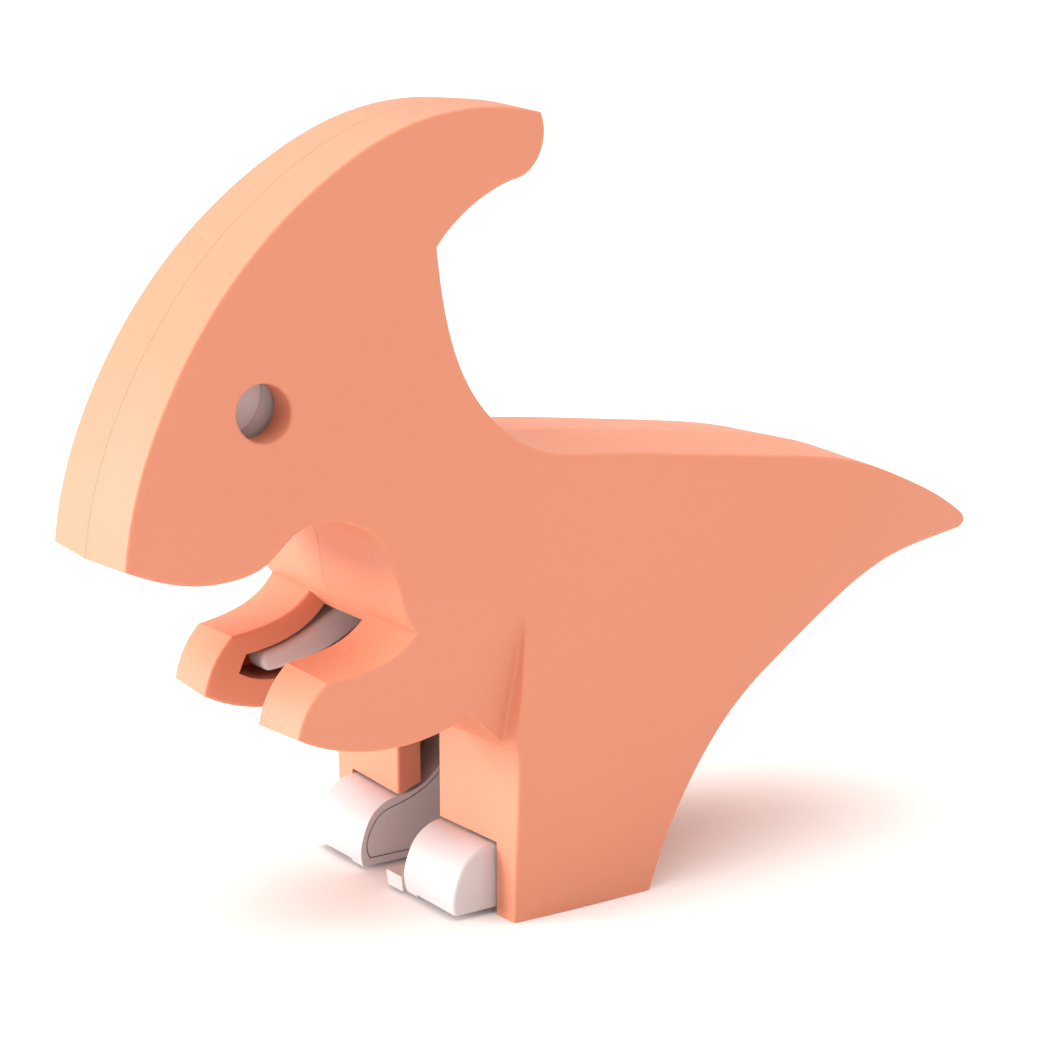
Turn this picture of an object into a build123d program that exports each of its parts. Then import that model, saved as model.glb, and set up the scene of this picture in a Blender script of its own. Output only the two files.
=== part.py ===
from build123d import *
import math
import os

os.makedirs("parts", exist_ok=True)

# Dinosaur puzzle figure, in millimetres: a white skeleton between two hollow half shells.
# The head looks towards -X, the figure's left side is -Y, and it stands on Z = 0.
# Outlines are drawn on a side plane whose u runs towards the tail from the front of
# the legs and whose v is the height above the feet's soles.

LEG_FRONT_X = -17.8          # puts the middle of the figure's length at X = 0
SOLE_HEIGHT = 0.5            # the shells carry the figure, so the feet hang this far off the table
SEAM_GAP = 0.04              # from the middle plane to each shell's parting face
DRAFT_ANGLE = 2.5            # moulding draft of the shells' outer walls
WALL = 2.6                   # thickness of the shells' side walls
BLANK_DEPTH = 26.0           # more than half of the figure's widest place
EDGE_ROUND = 0.4

HEAD_HALF = 8.4              # half thickness of the head and crest
LEG_GAP_HALF = 4.7           # half of the gap between the two legs
ARM_GAP_HALF = 6.4           # half of the gap between the two arms
BELLY_HALF = 18.3            # half thickness of the belly where it meets the legs
BELLY_TURN = 0.13            # how fast the belly narrows towards the hands
CROTCH_HEIGHT = 20.4

EYE = (-25.4, 61.8)
EYE_RADIUS = 3.3
EYE_RIM_ROUND = 0.5
EYE_COLLAR_RADIUS = 4.9
EYE_COLLAR_END = 5.95         # where the collar stops short of the skull

MAGNET_RADIUS = 2.5
MAGNET_THICKNESS = 3.0
MAGNET_FIT = 0.05
MAGNET_PLACES = [(-8.0, 55.6), (32.0, 42.6)]
BOSS_RADIUS = 3.9
BOSS_END = 2.9               # where a shell's boss stops short of the spine

SPINE_HALF = 2.5
SKULL_HALF = 5.1
SKULL_GAP = 0.06
CREST_HALF = 3.6
JAW_HALF = 3.2
ORBIT = (-28.3, 63.5)
ORBIT_RADIUS = 5.0
ORBIT_GAP = 0.14
ORBIT_DEPTH = 1.6
ORBIT_PROUD = 0.45
BONE_GAP = 0.15              # between skeleton pieces that plug together

HIP = (12.0, 38.0)
HIP_PIN_RADIUS = 1.5
SHOULDER = (-1.5, 35.0)
SHOULDER_PIN_RADIUS = 1.2
PIN_CLEARANCE = 0.05
PIN_CAP_RADIUS = 2.7
PIN_CAP_THICKNESS = 1.3

LEG_INNER = 5.0              # inner faces of the leg bones
LEG_OUTER = 10.3
FOOT_OUTER = 16.2
FOOT_POCKET_OUTER = 16.65
FOOT_POCKET_HEIGHT = 8.6      # at the front; the pocket's top rises over the instep
FOOT_POCKET_BACK = 9.9
FOOT_TOP = 8.25
SOLE_STEP = 0.35             # the outer part of a foot's sole is higher by this
SOLE_INNER_EDGE = 7.6
TOE_INNER = 1.6
PANEL_DEPTH = 1.0
PANEL_GAP = 0.16

side = Plane(origin=(LEG_FRONT_X, 0, SOLE_HEIGHT), x_dir=(1, 0, 0), z_dir=(0, -1, 0))


def left(distance):
    """The side plane moved to the left of the middle by this distance."""
    return side.offset(distance)


def at(place, distance=0.0):
    """A plane for round features whose axis crosses the body at this side place."""
    return Plane(origin=left(distance).from_local_coords(Vector(*place, 0)),
                 x_dir=(1, 0, 0), z_dir=(0, -1, 0))


# ---------------------------------------------------------------- the shells' shape
# The outline at the parting plane, as stretches that each end in a corner.
OUTLINE = [
    [(-43.2, 45.75), (-41.0, 55.8), (-37.0, 64.9), (-29.65, 75.75), (-15.2, 88.1), (-5.1, 92.8),
     (6.1, 94.25), (13.3, 93.2)],                                      # face and crest
    [(13.3, 93.2), (13.8, 91.0), (13.3, 88.4), (11.5, 86.0), (9.0, 85.0)],
    [(9.0, 85.0), (4.3, 83.0), (1.0, 80.7), (-1.5, 78.2)],             # under the crest
    [(-1.5, 78.2), (-1.2, 74.2), (-0.5, 69.0), (1.0, 63.6), (3.8, 58.9), (8.6, 55.1),
     (18.0, 53.4), (32.7, 51.6), (46.7, 49.7), (59.9, 46.9), (66.0, 44.4), (73.5, 40.7),
     (77.8, 37.9)],                                                    # neck and back
    [(77.8, 37.9), (78.9, 36.2), (77.2, 34.9)],                        # tip of the tail
    [(77.2, 34.9), (71.2, 34.5), (62.9, 33.6), (55.5, 31.6), (48.3, 28.6), (41.5, 25.2),
     (34.4, 20.7), (30.8, 17.2), (25.2, 8.6), (20.9, -2.5)],           # under the tail
    [(20.9, -2.5), (-0.1, -2.5)],
    [(-0.1, -2.5), (-0.1, CROTCH_HEIGHT)],                             # front of the leg
    [(-0.1, CROTCH_HEIGHT), (-4.0, 24.3)],
    [(-4.0, 24.3), (-8.0, 22.7), (-12.6, 21.9), (-16.3, 21.95), (-20.2, 22.6), (-25.8, 24.9)],
    [(-25.8, 24.9), (-24.1, 29.3), (-21.7, 32.1)],                     # end of the arm
    [(-21.7, 32.1), (-18.1, 32.6), (-14.0, 33.9), (-11.2, 36.2)],
    [(-11.2, 36.2), (-13.2, 42.6), (-14.6, 46.8), (-16.8, 48.2), (-19.8, 48.7), (-22.6, 48.1),
     (-27.0, 44.5), (-30.9, 43.3), (-34.3, 43.1), (-40.3, 44.5), (-43.2, 45.75)],
]
HOLLOW = [
    [(-40.0, 47.6), (-38.2, 55.3), (-34.6, 63.6), (-27.6, 74.0), (-13.9, 85.6), (-4.4, 90.0),
     (5.6, 91.4), (10.6, 90.6)],
    [(10.6, 90.6), (10.4, 88.8), (8.4, 87.8)],
    [(8.4, 87.8), (2.8, 85.6), (-1.3, 82.8), (-4.3, 79.0)],
    [(-4.3, 79.0), (-4.1, 74.0), (-3.3, 68.4), (-1.7, 62.2), (1.8, 56.6), (7.6, 52.3),
     (17.8, 50.5), (32.4, 48.7), (46.2, 46.8), (58.8, 44.1), (64.6, 41.7), (70.0, 39.0)],
    [(70.0, 39.0), (69.6, 37.5)],
    [(69.6, 37.5), (62.4, 36.6), (54.5, 34.5), (46.9, 31.4), (39.8, 27.7), (32.5, 23.0),
     (28.5, 18.8), (22.6, 8.9), (18.0, -2.5)],
    [(18.0, -2.5), (3.4, -2.5)],
    [(3.4, -2.5), (3.4, 21.9)],
    [(3.4, 21.9), (-3.3, 28.6)],
    [(-3.3, 28.6), (-8.6, 26.6), (-12.8, 25.8), (-16.2, 25.75), (-18.7, 26.2), (-20.8, 27.2)],
    [(-20.8, 27.2), (-19.8, 29.4)],
    [(-19.8, 29.4), (-17.0, 29.8), (-12.6, 31.2), (-8.0, 35.4)],
    [(-8.0, 35.4), (-10.4, 42.6), (-11.8, 48.2), (-15.4, 51.0), (-19.8, 51.6), (-23.8, 50.8),
     (-28.2, 47.4), (-31.2, 46.4), (-34.4, 46.2), (-37.8, 46.8), (-40.0, 47.6)],
]
# Half thickness = HEAD_HALF + SPREAD along the body x SHARE of the height.
SPREAD = [(-46, 0.3), (-35.5, 3.9), (-25, 8.3), (-10.6, 12.5), (0, 13.6), (25, 13.4),
          (42, 12.0), (58, 8.9), (74, 4.8), (84, 2.0)]
SHARE = [(-4, 0.87), (8, 0.895), (20, 0.935), (28, 0.895), (37.5, 0.745), (45.5, 0.545),
         (52.5, 0.35), (64, 0.14), (75, 0.035), (98, -0.07)]


def inset(stretches, distance):
    """The same closed outline, each point moved inwards along the miter of its corner."""
    points = [point for stretch in stretches for point in stretch[:-1]]
    moved = {}
    for here, before, after in zip(points, points[-1:] + points[:-1], points[1:] + points[:1]):
        into = Vector(here[1] - before[1], before[0] - here[0]).normalized()
        out = Vector(after[1] - here[1], here[0] - after[0]).normalized()
        miter = (into + out) * (distance / (1 + into.dot(out)))
        moved[here] = (here[0] + miter.X, here[1] + miter.Y)
    return [[moved[point] for point in stretch] for stretch in stretches]


def draw(stretches):
    """Draw an outline: two points are a straight line, more are a smooth curve."""
    for stretch in stretches:
        if len(stretch) == 2:
            Line(*stretch)
        else:
            Spline(*stretch)


def envelope(less):
    """The space between the middle plane and the figure's side, thinner by less."""
    with BuildPart() as space:
        for u, spread in SPREAD:
            across = Plane(origin=(LEG_FRONT_X + u, 0, SOLE_HEIGHT), x_dir=(0, -1, 0),
                           z_dir=(-1, 0, 0))
            edge = [(HEAD_HALF + spread * share - less, v) for v, share in SHARE]
            with BuildSketch(across):
                with BuildLine():
                    Spline(*edge)
                    Polyline(edge[-1], (-1, edge[-1][1]), (-1, edge[0][1]), edge[0])
                make_face()
        loft()
    return space.part


def belly_flank(less):
    """What is cut off the belly's side in front of the legs, down to a flat flank."""
    with BuildPart() as flank:
        with BuildSketch(side):
            with BuildLine():
                Polyline((-60, 10), (0.3 + less, 10), (0.3 + less, CROTCH_HEIGHT),
                         (3.6 + less, 38.5), (6 + less, 50), (-60, 60), (-60, 10))
            make_face()
        extrude(amount=40)
        split(bisect_by=Plane(origin=(LEG_FRONT_X, less - BELLY_HALF, 0), x_dir=(0, 0, 1),
                              z_dir=(BELLY_TURN, 1, 0)), keep=Keep.BOTTOM)
    return flank.part


def outer_edges(part):
    """The edges round the shell's side, without the groove above the leg."""
    found = []
    for edge in part.edges():
        far_out = all(edge.position_at(t).Y < -7 for t in (0, 0.25, 0.5, 0.75, 1))
        in_groove = edge.geom_type == GeomType.LINE or edge.length < 1
        middle = edge.center()
        on_side = abs(middle.X + 22.1) < 2 and abs(middle.Z - 39.6) < 2
        if far_out and not in_groove and not on_side:
            found.append(edge)
    return found


def gap_edges(part):
    """The outline's edges on the faces where the two arms and the two legs face each other."""
    found = []
    for edge in part.edges():
        inner_face = round(-edge.center().Y, 3) in (ARM_GAP_HALF, LEG_GAP_HALF)
        underfoot = edge.center().Z < SOLE_HEIGHT
        if inner_face and edge.geom_type != GeomType.LINE and not underfoot:
            found.append(edge)
    return found


def nearest_edge(part, place):
    """The edge whose middle is nearest to a place."""
    return min(part.edges(), key=lambda edge: (edge.center() - place).length)


# ---------------------------------------------------------------- the left half shell
taper = math.tan(math.radians(DRAFT_ANGLE))
with BuildPart() as blank:
    for depth in (SEAM_GAP, BLANK_DEPTH):
        with BuildSketch(left(depth)):
            with BuildLine():
                draw(inset(OUTLINE, depth * taper))
            make_face()
    loft(ruled=True)
    add(envelope(0), mode=Mode.INTERSECT)
    add(belly_flank(0), mode=Mode.SUBTRACT)
    # The arms and the legs are open towards each other.
    with BuildSketch(left(-1)):
        Polygon((-32, 19), (-7.5, 19), (-7.5, 32.6), (-11.2, 36.2), (-32, 36.2), align=None)
    extrude(amount=1 + ARM_GAP_HALF, mode=Mode.SUBTRACT)
    with BuildSketch(left(-1)):
        Polygon((-5, -4), (45, -4), (45, CROTCH_HEIGHT), (-5, CROTCH_HEIGHT), align=None)
    extrude(amount=1 + LEG_GAP_HALF, mode=Mode.SUBTRACT)
    fillet(gap_edges(blank.part), EDGE_ROUND)
    fillet(outer_edges(blank.part), EDGE_ROUND)
    # The bottom of the groove between the belly and the leg.
    fillet(nearest_edge(blank.part, Vector(LEG_FRONT_X + 1.8, -BELLY_HALF, 29)), EDGE_ROUND)

with BuildPart() as hollow:
    with BuildSketch(left(-1)):
        with BuildLine():
            draw(HOLLOW)
        make_face()
    extrude(amount=BLANK_DEPTH)
    add(envelope(WALL), mode=Mode.INTERSECT)
    add(belly_flank(WALL), mode=Mode.SUBTRACT)

# Two magnet bosses and a collar round the eye hole stand on the inside of the side wall.
with BuildPart() as posts:
    for place in MAGNET_PLACES:
        with BuildSketch(at(place, BOSS_END)):
            Circle(BOSS_RADIUS)
    with BuildSketch(at(EYE, EYE_COLLAR_END)):
        Circle(EYE_COLLAR_RADIUS)
    extrude(amount=BLANK_DEPTH)
    add(blank.part, mode=Mode.INTERSECT)

with BuildPart() as left_shell:
    add(blank.part)
    add(hollow.part, mode=Mode.SUBTRACT)
    add(posts.part)
    with BuildSketch(*[at(place, BOSS_END) for place in MAGNET_PLACES]):
        Circle(MAGNET_RADIUS + MAGNET_FIT)
    extrude(amount=MAGNET_THICKNESS + SEAM_GAP, mode=Mode.SUBTRACT)
    with BuildSketch(at(EYE)):
        Circle(EYE_RADIUS)
    extrude(amount=BLANK_DEPTH, mode=Mode.SUBTRACT)
    fillet(nearest_edge(left_shell.part, at(EYE, HEAD_HALF + 2).origin), EYE_RIM_ROUND)
    with BuildSketch(left(-1)):
        Polygon((-3, -4), (4, -4), (4, FOOT_POCKET_BACK), (0.6, FOOT_POCKET_HEIGHT),
                (-3, FOOT_POCKET_HEIGHT), align=None)
    extrude(amount=1 + FOOT_POCKET_OUTER, mode=Mode.SUBTRACT)
    split(bisect_by=Plane.XY, keep=Keep.TOP)

with BuildPart() as left_shell_magnets:
    with BuildSketch(*[at(place, BOSS_END + SEAM_GAP) for place in MAGNET_PLACES]):
        Circle(MAGNET_RADIUS)
    extrude(amount=MAGNET_THICKNESS)

# ---------------------------------------------------------------- spine and its magnets
SKULL = [
    [(-37.6, 50.6), (-36.7, 55.4), (-33.4, 62.8), (-28.2, 70.4), (-22.4, 75.8)],   # brow
    [(-22.4, 75.8), (-17.4, 74.8), (-13.4, 71.4), (-12.0, 66.6), (-13.6, 62.2)],   # back
    [(-13.6, 62.2), (-17.5, 60.0), (-20.6, 57.0), (-25.5, 54.4), (-31.0, 52.8), (-37.6, 50.6)],
]
SPINE = [
    [(-14.4, 67.0), (-9.4, 62.6), (-4.2, 56.6), (0.6, 51.4), (8.0, 47.8), (18.0, 46.2),
     (30.0, 45.3), (38.6, 44.6)],
    [(38.6, 44.6), (38.6, 40.6)],
    [(38.6, 40.6), (30.0, 39.4), (22.5, 38.2), (18.0, 33.4), (12.0, 31.6), (6.6, 33.8),
     (2.4, 33.0), (-1.5, 31.4), (-4.9, 33.6), (-5.6, 38.4), (-7.4, 44.6), (-10.6, 50.4),
     (-14.4, 54.8), (-16.2, 58.6), (-17.6, 63.0), (-14.4, 67.0)],
]
TENON_HALF = 1.2
TENON_LENGTH = 4.2
TENON_HEIGHT = 3.0
TENON_MIDDLES = [(38.6, 42.6), (53.4, 41.0)]
FINS = [(-6.3, 60.4, -49), (-2.2, 55.6, -48), (2.4, 51.4, -36), (7.6, 48.9, -20),
        (13.0, 47.8, -9), (18.6, 47.1, -6), (24.2, 46.7, -4)]


def tenon(place, half, length):
    """A flat tongue that runs back from the middle of a bone's end."""
    with BuildPart() as tongue:
        with BuildSketch(left(-half)):
            with Locations((place[0] + length / 2 - 0.5, place[1])):
                Rectangle(length + 1, TENON_HEIGHT + 2 * (half - TENON_HALF))
        extrude(amount=2 * half)
    return tongue.part


with BuildPart() as spine:
    with BuildSketch(left(-SPINE_HALF)):
        with BuildLine():
            draw(SPINE)
        make_face()
        with Locations(*MAGNET_PLACES):
            Circle(MAGNET_RADIUS + 1.4)
        for u, v, slope in FINS:
            with Locations(Location((u, v, 0), (0, 0, slope))):
                Trapezoid(3.4, 3.2, 74)
        with BuildLine():
            draw(inset(SKULL, -BONE_GAP))
        make_face(mode=Mode.SUBTRACT)
    extrude(amount=2 * SPINE_HALF)
    add(tenon(TENON_MIDDLES[0], TENON_HALF, TENON_LENGTH))
    with BuildSketch(*[at(place, -SPINE_HALF) for place in MAGNET_PLACES]):
        Circle(MAGNET_RADIUS + MAGNET_FIT)
    extrude(amount=2 * SPINE_HALF, mode=Mode.SUBTRACT)
    with BuildSketch(at(HIP, -SPINE_HALF)):
        Circle(HIP_PIN_RADIUS)
    with BuildSketch(at(SHOULDER, -SPINE_HALF)):
        Circle(SHOULDER_PIN_RADIUS)
    extrude(amount=2 * SPINE_HALF, mode=Mode.SUBTRACT)

with BuildPart() as spine_magnets:
    with BuildSketch(*[at(place, -SPINE_HALF) for place in MAGNET_PLACES]):
        Circle(MAGNET_RADIUS)
    extrude(amount=2 * SPINE_HALF)

# ---------------------------------------------------------------- head
with BuildPart() as left_skull:
    with BuildSketch(left(SKULL_GAP)):
        with BuildLine():
            draw(SKULL)
        make_face()
    extrude(amount=SKULL_HALF - SKULL_GAP)
    fillet(left_skull.faces().sort_by(Axis.Y)[0].edges(), 0.9)
    with BuildSketch(at(ORBIT, SKULL_HALF - ORBIT_DEPTH)):
        Circle(ORBIT_RADIUS)
    extrude(amount=ORBIT_DEPTH, mode=Mode.SUBTRACT)

with BuildPart() as orbit_discs:
    with BuildSketch(at(ORBIT, SKULL_HALF - ORBIT_DEPTH)):
        Circle(ORBIT_RADIUS - ORBIT_GAP)
    extrude(amount=ORBIT_DEPTH + ORBIT_PROUD)
    fillet(orbit_discs.edges().sort_by(Axis.Y)[0], 0.3)
    mirror(about=Plane.XZ)

with BuildPart() as crest_bone:
    with BuildSketch(left(-CREST_HALF)):
        with BuildLine():
            Spline((-23.6, 74.6), (-21.2, 77.0), (-12.8, 84.0), (-4.3, 88.2), (4.4, 89.8),
                   (8.2, 89.5))
            Line((8.2, 89.5), (7.8, 88.5))
            Spline((7.8, 88.5), (2.2, 86.3), (-2.4, 83.2), (-6.4, 78.2), (-8.6, 73.0),
                   (-13.0, 68.0))
            Line((-13.0, 68.0), (-23.6, 74.6))
        make_face()
        with BuildLine():
            draw(inset(SKULL, -BONE_GAP))
        make_face(mode=Mode.SUBTRACT)
    extrude(amount=2 * CREST_HALF)

with BuildPart() as lower_jaw:
    with BuildSketch(left(-JAW_HALF)):
        with BuildLine():
            Spline((-37.2, 49.6), (-36.6, 47.6), (-34.0, 46.9), (-30.0, 47.4), (-26.6, 50.2),
                   (-22.4, 52.4), (-19.4, 54.4), (-17.9, 57.4), (-18.4, 61.0))
            Polyline((-18.4, 61.0), (-25.0, 57.0), (-37.0, 53.0), (-37.2, 49.6))
        make_face()
        with BuildLine():
            draw(inset(SKULL, -2 * BONE_GAP))
        make_face(mode=Mode.SUBTRACT)
    extrude(amount=2 * JAW_HALF)

# ---------------------------------------------------------------- trunk
RIB_INNER = 2.75
RIB_OUTER = 5.6
RIB_WIDTH = 1.9
RIB_TOPS = [-3.0, 0.0, 3.0, 6.0]
with BuildPart() as left_ribs:
    with BuildSketch(left(RIB_INNER)):
        for u in RIB_TOPS:
            with BuildLine():
                ThreePointArc((u, 45.6), (u - 2.0, 39.0), (u - 0.4, 32.2))
            trace(line_width=RIB_WIDTH)
        with BuildLine():
            Line((-3.6, 45.0), (6.6, 44.0))
        trace(line_width=2.6)
        with Locations(SHOULDER):
            Circle(2.7)
            Circle(SHOULDER_PIN_RADIUS, mode=Mode.SUBTRACT)
    extrude(amount=RIB_OUTER - RIB_INNER)

PELVIS_OUTER = 4.0
with BuildPart() as left_pelvis:
    with BuildSketch(left(RIB_INNER)):
        with BuildLine():
            Spline((7.4, 44.4), (12.0, 46.4), (18.0, 45.6), (23.0, 42.6), (24.8, 37.6),
                   (24.0, 32.4), (21.6, 31.6), (18.4, 34.4), (12.0, 32.4), (7.2, 35.2),
                   (6.6, 39.6), periodic=True)
        make_face()
        with Locations(HIP):
            Circle(HIP_PIN_RADIUS, mode=Mode.SUBTRACT)
    extrude(amount=PELVIS_OUTER - RIB_INNER)

TAIL_HALF = 3.8
with BuildPart() as tail_front:
    with BuildSketch(left(-TAIL_HALF)):
        with BuildLine():
            Spline((38.8, 45.0), (42.4, 44.4), (46.2, 45.2), (49.8, 43.8), (53.4, 43.9))
            Line((53.4, 43.9), (53.4, 38.2))
            Spline((53.4, 38.2), (49.8, 38.4), (46.2, 36.2), (42.4, 38.6), (38.8, 38.4))
            Line((38.8, 38.4), (38.8, 45.0))
        make_face()
    extrude(amount=2 * TAIL_HALF)
    add(tenon(TENON_MIDDLES[0], TENON_HALF + BONE_GAP, TENON_LENGTH + BONE_GAP),
        mode=Mode.SUBTRACT)
    add(tenon(TENON_MIDDLES[1], TENON_HALF, TENON_LENGTH))

TAIL_END_HALF = 2.9
with BuildPart() as tail_rear:
    with BuildSketch(left(-TAIL_END_HALF)):
        with BuildLine():
            Spline((53.6, 43.6), (57.0, 42.4), (60.4, 42.4), (64.0, 40.4), (68.0, 38.9))
            ThreePointArc((68.0, 38.9), (68.6, 38.4), (67.8, 38.0))
            Spline((67.8, 38.0), (64.0, 37.8), (60.4, 37.0), (57.0, 38.0), (53.6, 37.6))
            Line((53.6, 37.6), (53.6, 43.6))
        make_face()
    extrude(amount=2 * TAIL_END_HALF)
    add(tenon(TENON_MIDDLES[1], TENON_HALF + BONE_GAP, TENON_LENGTH + BONE_GAP),
        mode=Mode.SUBTRACT)

# ---------------------------------------------------------------- arms
ARM_INNER = 6.2
ARM_OUTER = 9.6
with BuildPart() as left_arm:
    with BuildSketch(left(ARM_INNER)):
        with BuildLine():
            Spline((-2.2, 37.6), (-4.8, 35.2), (-9.0, 32.3), (-13.0, 30.4), (-16.6, 29.4))
            ThreePointArc((-16.6, 29.4), (-17.7, 28.0), (-16.2, 26.8))
            Spline((-16.2, 26.8), (-12.0, 27.4), (-7.0, 29.0), (-2.6, 31.4), (0.2, 33.2))
            Line((0.2, 33.2), (-2.2, 37.6))
        make_face()
        with Locations(SHOULDER):
            Circle(2.9)
    extrude(amount=ARM_OUTER - ARM_INNER)
    fillet(left_arm.faces().sort_by(Axis.Y)[-1].edges(), 0.7)
    with BuildSketch(at(SHOULDER, ARM_INNER)):
        Circle(SHOULDER_PIN_RADIUS)
    extrude(amount=ARM_OUTER - ARM_INNER, mode=Mode.SUBTRACT)

# ---------------------------------------------------------------- legs
LEG = [
    [(-4.8, 0.0), (-5.15, 1.6), (-4.65, 4.2), (-3.6, 6.3), (-1.9, 7.7), (0.4, 8.25)],
    [(0.4, 8.25), (5.4, 10.2), (8.4, 14.6), (9.2, 20.0), (7.8, 27.4), (6.5, 36.6)],
    [(6.5, 36.6), (17.6, 37.6)],
    [(17.6, 37.6), (17.0, 29.0), (15.8, 21.6), (16.4, 14.0), (15.8, 8.2), (13.4, 3.4),
     (12.4, 0.0)],
    [(12.4, 0.0), (-4.8, 0.0)],
]
HIP_KNOB_RADIUS = 5.6
FOOT_BACK = 12.4
FOOT_PANEL = [
    [(-3.9, 0.9), (-4.35, 2.2), (-3.75, 4.6), (-2.1, 6.5), (0.5, 7.35), (5.6, 9.7), (8.7, 13.9)],
    [(8.7, 13.9), (15.0, 13.2)],
    [(15.0, 13.2), (14.4, 8.0), (12.4, 3.8), (11.6, 0.9)],
    [(11.6, 0.9), (-3.9, 0.9)],
]


def leg_bone(toe):
    """The left leg: a flat thigh and shin, a round-fronted foot and, if asked, a toe."""
    with BuildPart() as bone:
        with BuildSketch(left(LEG_INNER)):
            with BuildLine():
                draw(LEG)
            make_face()
            with Locations(HIP):
                Circle(HIP_KNOB_RADIUS)
        extrude(amount=LEG_OUTER - LEG_INNER)
        with BuildSketch(left(LEG_INNER)):
            with BuildLine():
                draw(LEG[:1])
                Polyline((0.4, FOOT_TOP), (FOOT_BACK, FOOT_TOP), (FOOT_BACK, 0.0), LEG[0][0])
            make_face()
        extrude(amount=FOOT_OUTER - LEG_INNER)
        outer_face = bone.faces().sort_by(Axis.Y)[0]
        fillet(outer_face.edges(), 0.5)
        with BuildSketch(left(SOLE_INNER_EDGE)):
            Polygon((-8, -1), (15, -1), (15, SOLE_STEP), (-8, SOLE_STEP), align=None)
        extrude(amount=FOOT_OUTER, mode=Mode.SUBTRACT)
        if toe:
            with BuildSketch(left(TOE_INNER)):
                Polygon((-5.3, 0), (1.0, 0), (1.0, 1.9), (-5.5, 1.9), align=None)
            extrude(amount=LEG_INNER - TOE_INNER)
        with BuildSketch(left(LEG_INNER)):
            with BuildLine():
                draw(FOOT_PANEL)
            make_face()
        extrude(amount=PANEL_DEPTH, mode=Mode.SUBTRACT)
        with BuildSketch(at(HIP, LEG_INNER)):
            Circle(HIP_PIN_RADIUS + PIN_CLEARANCE)
        extrude(amount=LEG_OUTER - LEG_INNER, mode=Mode.SUBTRACT)
    return bone.part


with BuildPart() as left_leg:
    add(leg_bone(toe=True))

with BuildPart() as right_leg:
    mirror(leg_bone(toe=False), about=Plane.XZ)

with BuildPart() as left_foot_panel:
    with BuildSketch(left(LEG_INNER)):
        with BuildLine():
            draw(inset(FOOT_PANEL, PANEL_GAP))
        make_face()
    extrude(amount=PANEL_DEPTH)

# ---------------------------------------------------------------- pins
PIN_OVERHANG = 0.2
with BuildPart() as hip_pin:
    with BuildSketch(at(HIP, -LEG_OUTER - PIN_OVERHANG - PIN_CAP_THICKNESS / 2)):
        Circle(HIP_PIN_RADIUS)
    extrude(amount=2 * (LEG_OUTER + PIN_OVERHANG) + PIN_CAP_THICKNESS)

with BuildPart() as shoulder_pin:
    with BuildSketch(at(SHOULDER, -ARM_OUTER)):
        Circle(SHOULDER_PIN_RADIUS)
    extrude(amount=2 * ARM_OUTER)

with BuildPart() as hip_pin_caps:
    with BuildSketch(at(HIP, LEG_OUTER + PIN_OVERHANG)):
        Circle(PIN_CAP_RADIUS)
    extrude(amount=PIN_CAP_THICKNESS)
    fillet(hip_pin_caps.edges().sort_by(Axis.Y)[0], 0.5)
    with BuildSketch(at(HIP, LEG_OUTER + PIN_OVERHANG)):
        Circle(HIP_PIN_RADIUS)
    extrude(amount=PIN_CAP_THICKNESS / 2, mode=Mode.SUBTRACT)
    mirror(about=Plane.XZ)

# ---------------------------------------------------------------- right side and files
pieces = {
    "left_shell": left_shell, "left_shell_magnets": left_shell_magnets, "spine": spine,
    "spine_magnets": spine_magnets, "left_skull": left_skull, "orbit_discs": orbit_discs,
    "crest_bone": crest_bone, "lower_jaw": lower_jaw, "left_ribs": left_ribs,
    "left_pelvis": left_pelvis, "tail_front": tail_front, "tail_rear": tail_rear,
    "left_arm": left_arm, "left_leg": left_leg, "right_leg": right_leg,
    "left_foot_panel": left_foot_panel, "hip_pin": hip_pin, "shoulder_pin": shoulder_pin,
    "hip_pin_caps": hip_pin_caps,
}
for name in ("shell", "shell_magnets", "skull", "ribs", "pelvis", "arm", "foot_panel"):
    with BuildPart() as twin:
        mirror(pieces["left_" + name].part, about=Plane.XZ)
    pieces["right_" + name] = twin

for name, piece in pieces.items():
    piece.part.label = name
    export_step(piece.part, f"parts/{name}.step")
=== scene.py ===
import bpy
import math
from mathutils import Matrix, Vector

# The figure's working parts, as packed: two half shells, a plug-together skeleton and two
# swinging legs. Their shapes are kept as they are. The sections below give them their finish,
# then set up the table, the light and the camera.
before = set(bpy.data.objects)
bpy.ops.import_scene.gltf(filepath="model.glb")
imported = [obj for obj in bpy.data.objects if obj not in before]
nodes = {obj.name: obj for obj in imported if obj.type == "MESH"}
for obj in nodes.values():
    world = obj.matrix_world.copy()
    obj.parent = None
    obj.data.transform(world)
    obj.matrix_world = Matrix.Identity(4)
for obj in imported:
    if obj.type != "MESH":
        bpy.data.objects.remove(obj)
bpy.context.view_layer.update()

# ---------------------------------------------------------------- the two half shells
# Each half is one injection moulding in soft peach plastic, about 2.6 mm thick, with a fine
# spark-eroded grain outside. Two disc magnets in bosses pull the halves onto the skeleton.
SHELL_COLOUR = (0.715, 0.268, 0.160)
SHELL_DEEP_COLOUR = (0.690, 0.248, 0.145)
SHELL_ROUGHNESS = 0.52
SHELL_GLOW = 0.15              # how much light goes in and comes out again
SHELL_GRAIN = 2600.0           # grains along a metre, roughly
SHELL_GRAIN_HEIGHT = 0.00004
PLASTIC_IOR = 1.46
GLOW_RADIUS = (1.0, 0.42, 0.25)  # red light goes furthest
GLOW_DEPTH = 0.0022
DRIFT_SCALE = 22.0             # the colour drifts over a few centimetres
DRIFT_DETAIL = 2.0
GRAIN_DETAIL = 3.0
BUMP_STRENGTH = 0.35


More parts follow.
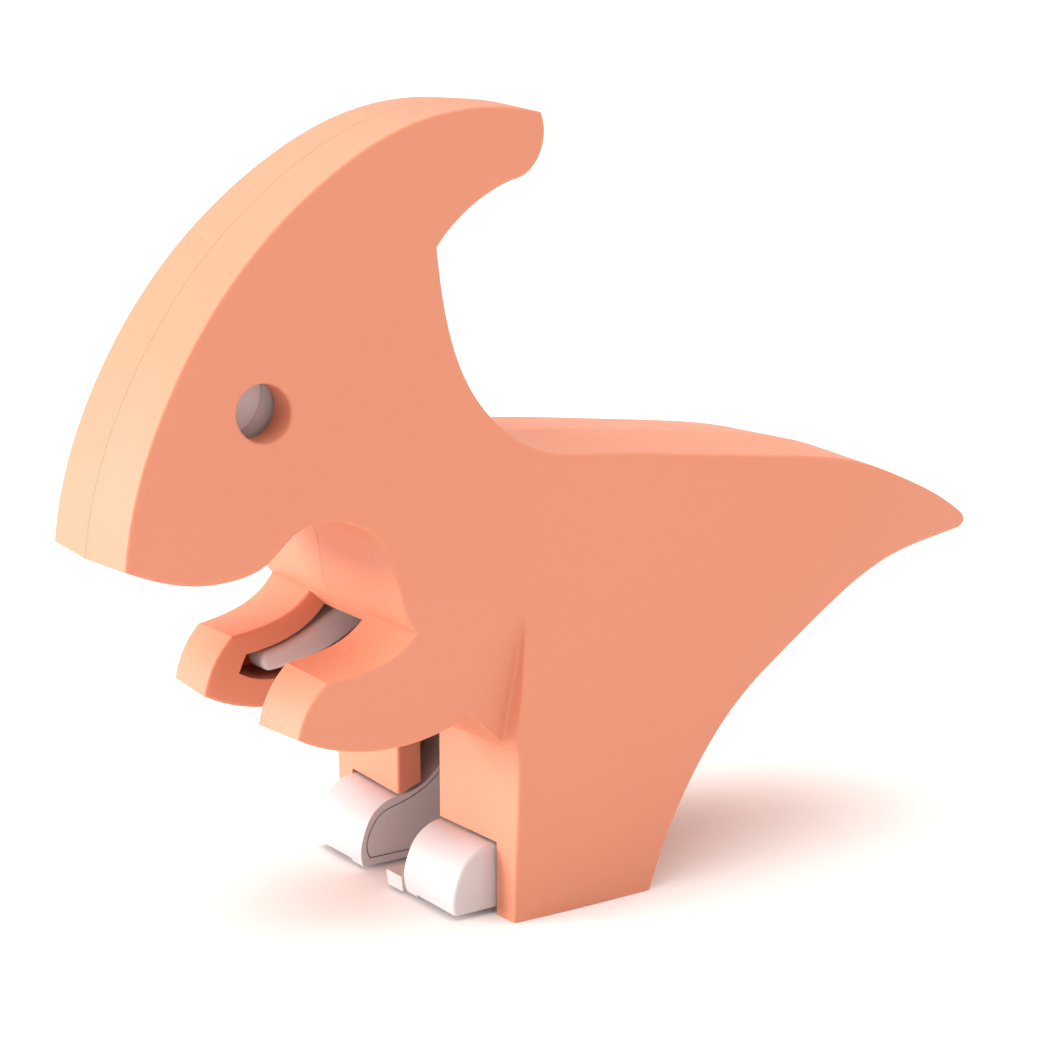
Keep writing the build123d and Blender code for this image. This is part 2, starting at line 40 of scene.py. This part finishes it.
def plastic(name, colour, deeper, roughness, glow, grain, grain_height):
    """A moulded plastic: slight colour drift, a fine grain in the surface, light under it."""
    material = bpy.data.materials.new(name)
    material.use_nodes = True
    tree = material.node_tree
    shader = tree.nodes["Principled BSDF"]
    shader.inputs["Roughness"].default_value = roughness
    shader.inputs["IOR"].default_value = PLASTIC_IOR
    shader.inputs["Subsurface Weight"].default_value = glow
    shader.inputs["Subsurface Radius"].default_value = GLOW_RADIUS
    shader.inputs["Subsurface Scale"].default_value = GLOW_DEPTH
    place = tree.nodes.new("ShaderNodeTexCoord")
    drift = tree.nodes.new("ShaderNodeTexNoise")
    drift.inputs["Scale"].default_value = DRIFT_SCALE
    drift.inputs["Detail"].default_value = DRIFT_DETAIL
    tint = tree.nodes.new("ShaderNodeMix")
    tint.data_type = "RGBA"
    tint.inputs["A"].default_value = (*colour, 1.0)
    tint.inputs["B"].default_value = (*deeper, 1.0)
    tree.links.new(place.outputs["Object"], drift.inputs["Vector"])
    tree.links.new(drift.outputs["Fac"], tint.inputs["Factor"])
    tree.links.new(tint.outputs["Result"], shader.inputs["Base Color"])
    sparks = tree.nodes.new("ShaderNodeTexNoise")
    sparks.inputs["Scale"].default_value = grain
    sparks.inputs["Detail"].default_value = GRAIN_DETAIL
    bump = tree.nodes.new("ShaderNodeBump")
    bump.inputs["Strength"].default_value = BUMP_STRENGTH
    bump.inputs["Distance"].default_value = grain_height
    tree.links.new(place.outputs["Object"], sparks.inputs["Vector"])
    tree.links.new(sparks.outputs["Fac"], bump.inputs["Height"])
    tree.links.new(bump.outputs["Normal"], shader.inputs["Normal"])
    return material


def finish_with(material, *names):
    """Give these CAD nodes one material."""
    for name in names:
        mesh = nodes[name].data
        mesh.materials.clear()
        mesh.materials.append(material)


shell_plastic = plastic("peach shell plastic", SHELL_COLOUR, SHELL_DEEP_COLOUR,
                        SHELL_ROUGHNESS, SHELL_GLOW, SHELL_GRAIN, SHELL_GRAIN_HEIGHT)
finish_with(shell_plastic, "left_shell", "right_shell")

# ---------------------------------------------------------------- the bones
# The skeleton is moulded in white plastic with a satin finish. Its flat pieces plug onto the
# spine, and the two legs hang on the hip pin.
BONE_COLOUR = (0.630, 0.572, 0.580)
BONE_DEEP_COLOUR = (0.610, 0.552, 0.560)
BONE_ROUGHNESS = 0.38
BONE_GLOW = 0.15
BONE_GRAIN = 1800.0
BONE_GRAIN_HEIGHT = 0.00002
bone_plastic = plastic("white bone plastic", BONE_COLOUR, BONE_DEEP_COLOUR,
                       BONE_ROUGHNESS, BONE_GLOW, BONE_GRAIN, BONE_GRAIN_HEIGHT)
finish_with(bone_plastic, "spine", "left_skull", "right_skull", "orbit_discs", "crest_bone",
            "lower_jaw", "left_ribs", "right_ribs", "left_pelvis", "right_pelvis",
            "tail_front", "tail_rear", "left_arm", "right_arm", "left_leg", "right_leg",
            "left_foot_panel", "right_foot_panel", "hip_pin_caps")

# ---------------------------------------------------------------- magnets and pins
# Nickel plated disc magnets are pressed into the bosses and the spine, and the hip and
# shoulder pins are cut from ground steel rod.
NICKEL_COLOUR = (0.66, 0.63, 0.58)
NICKEL_ROUGHNESS = 0.2
STEEL_COLOUR = (0.56, 0.57, 0.58)
STEEL_ROUGHNESS = 0.32
WEAR_SCALE = 900.0
POLISHED = 0.06                # the smoothest spots are smoother by this
DULLED = 0.08                  # the most worn spots are rougher by this


def metal(name, colour, roughness):
    """A bare metal whose roughness varies finely, as handling leaves it."""
    material = bpy.data.materials.new(name)
    material.use_nodes = True
    tree = material.node_tree
    shader = tree.nodes["Principled BSDF"]
    shader.inputs["Base Color"].default_value = (*colour, 1.0)
    shader.inputs["Metallic"].default_value = 1.0
    place = tree.nodes.new("ShaderNodeTexCoord")
    wear = tree.nodes.new("ShaderNodeTexNoise")
    wear.inputs["Scale"].default_value = WEAR_SCALE
    spread = tree.nodes.new("ShaderNodeMapRange")
    spread.inputs["To Min"].default_value = roughness - POLISHED
    spread.inputs["To Max"].default_value = roughness + DULLED
    tree.links.new(place.outputs["Object"], wear.inputs["Vector"])
    tree.links.new(wear.outputs["Fac"], spread.inputs["Value"])
    tree.links.new(spread.outputs["Result"], shader.inputs["Roughness"])
    return material


finish_with(metal("nickel plate", NICKEL_COLOUR, NICKEL_ROUGHNESS),
            "left_shell_magnets", "right_shell_magnets", "spine_magnets")
finish_with(metal("ground steel", STEEL_COLOUR, STEEL_ROUGHNESS), "hip_pin", "shoulder_pin")

# ---------------------------------------------------------------- table, light and camera
# The figure stands on a pale, nearly matt table in a bright room. A low window light comes
# from ahead of its face, on the far side, and a soft ceiling light comes from above.
TABLE_COLOUR = (0.93, 0.915, 0.905, 1.0)
TABLE_ROUGHNESS = 0.9
TABLE_GLOSS = 0.1
TABLE_SIZE = 6.0
table_material = bpy.data.materials.new("pale table")
table_material.use_nodes = True
table_shader = table_material.node_tree.nodes["Principled BSDF"]
table_shader.inputs["Base Color"].default_value = TABLE_COLOUR
table_shader.inputs["Roughness"].default_value = TABLE_ROUGHNESS
table_shader.inputs["Specular IOR Level"].default_value = TABLE_GLOSS
bpy.ops.mesh.primitive_plane_add(size=TABLE_SIZE)
table = bpy.context.object
table.name = "table"
table.data.materials.append(table_material)

# The window light is nearly level, so that it is weak on the table.
LIGHT_COLOUR = (1.0, 0.985, 0.965)
WINDOW_STRENGTH = 4.3
WINDOW_SPREAD = 30             # degrees
WINDOW_TOWARDS = (0.86, -0.5, -0.1)
CEILING_STRENGTH = 2.0
CEILING_SPREAD = 80            # degrees
CEILING_TOWARDS = (0.1, -0.12, -1.0)


def broad_light(name, energy, spread, towards):
    """A very soft distant light that shines in one direction."""
    light = bpy.data.lights.new(name, "SUN")
    light.energy = energy
    light.angle = math.radians(spread)
    light.color = LIGHT_COLOUR
    lamp = bpy.data.objects.new(name, light)
    bpy.context.scene.collection.objects.link(lamp)
    lamp.rotation_euler = Vector(towards).to_track_quat("-Z", "Y").to_euler()


broad_light("window light", WINDOW_STRENGTH, WINDOW_SPREAD, WINDOW_TOWARDS)
broad_light("ceiling light", CEILING_STRENGTH, CEILING_SPREAD, CEILING_TOWARDS)

# The room is brightest overhead and dims downwards. Just above the horizon a white haze takes
# over, which hides the table's far edge. The haze heights are sines of angles above the horizon.
HAZE_FULL_BELOW = 0.12
HAZE_GONE_ABOVE = 0.2
HAZE_STRENGTH = 1.0
SKY_COLOUR = (1.0, 0.985, 0.975, 1.0)
SKY_HORIZON = 0.15
SKY_OVERHEAD = 1.25
world = bpy.data.worlds.new("bright room")
world.use_nodes = True
sky = world.node_tree
direction = sky.nodes.new("ShaderNodeTexCoord")
height = sky.nodes.new("ShaderNodeSeparateXYZ")
brightness = sky.nodes.new("ShaderNodeMapRange")
brightness.inputs["To Min"].default_value = SKY_HORIZON
brightness.inputs["To Max"].default_value = SKY_OVERHEAD
haze = sky.nodes.new("ShaderNodeMapRange")
haze.inputs["From Min"].default_value = HAZE_FULL_BELOW
haze.inputs["From Max"].default_value = HAZE_GONE_ABOVE
haze.inputs["To Min"].default_value = HAZE_STRENGTH
haze.inputs["To Max"].default_value = 0.0
brighter = sky.nodes.new("ShaderNodeMath")
brighter.operation = "MAXIMUM"
sky.links.new(direction.outputs["Generated"], height.inputs["Vector"])
sky.links.new(height.outputs["Z"], brightness.inputs["Value"])
sky.links.new(height.outputs["Z"], haze.inputs["Value"])
sky.links.new(brightness.outputs["Result"], brighter.inputs[0])
sky.links.new(haze.outputs["Result"], brighter.inputs[1])
sky.links.new(brighter.outputs["Value"], sky.nodes["Background"].inputs["Strength"])
sky.nodes["Background"].inputs["Color"].default_value = SKY_COLOUR
bpy.context.scene.world = world
bpy.context.scene.view_settings.view_transform = "Standard"

# The camera looks a little down on the left side, from 34 degrees round towards the face.
CAMERA_AZIMUTH = math.radians(-34.02)
CAMERA_ELEVATION = math.radians(13.54)
CAMERA_DISTANCE = 0.355
CAMERA_TARGET = Vector((-0.0019, 0.0, 0.0422))
CAMERA_LENS = 99.1             # millimetres
CAMERA_SENSOR = 36.0           # millimetres
back = Vector((math.sin(CAMERA_AZIMUTH) * math.cos(CAMERA_ELEVATION),
               -math.cos(CAMERA_AZIMUTH) * math.cos(CAMERA_ELEVATION),
               math.sin(CAMERA_ELEVATION)))
lens = bpy.data.cameras.new("camera")
lens.lens = CAMERA_LENS
lens.sensor_width = CAMERA_SENSOR
camera = bpy.data.objects.new("camera", lens)
bpy.context.scene.collection.objects.link(camera)
camera.location = CAMERA_TARGET + back * CAMERA_DISTANCE
camera.rotation_euler = (-back).to_track_quat("-Z", "Y").to_euler()
bpy.context.scene.camera = camera
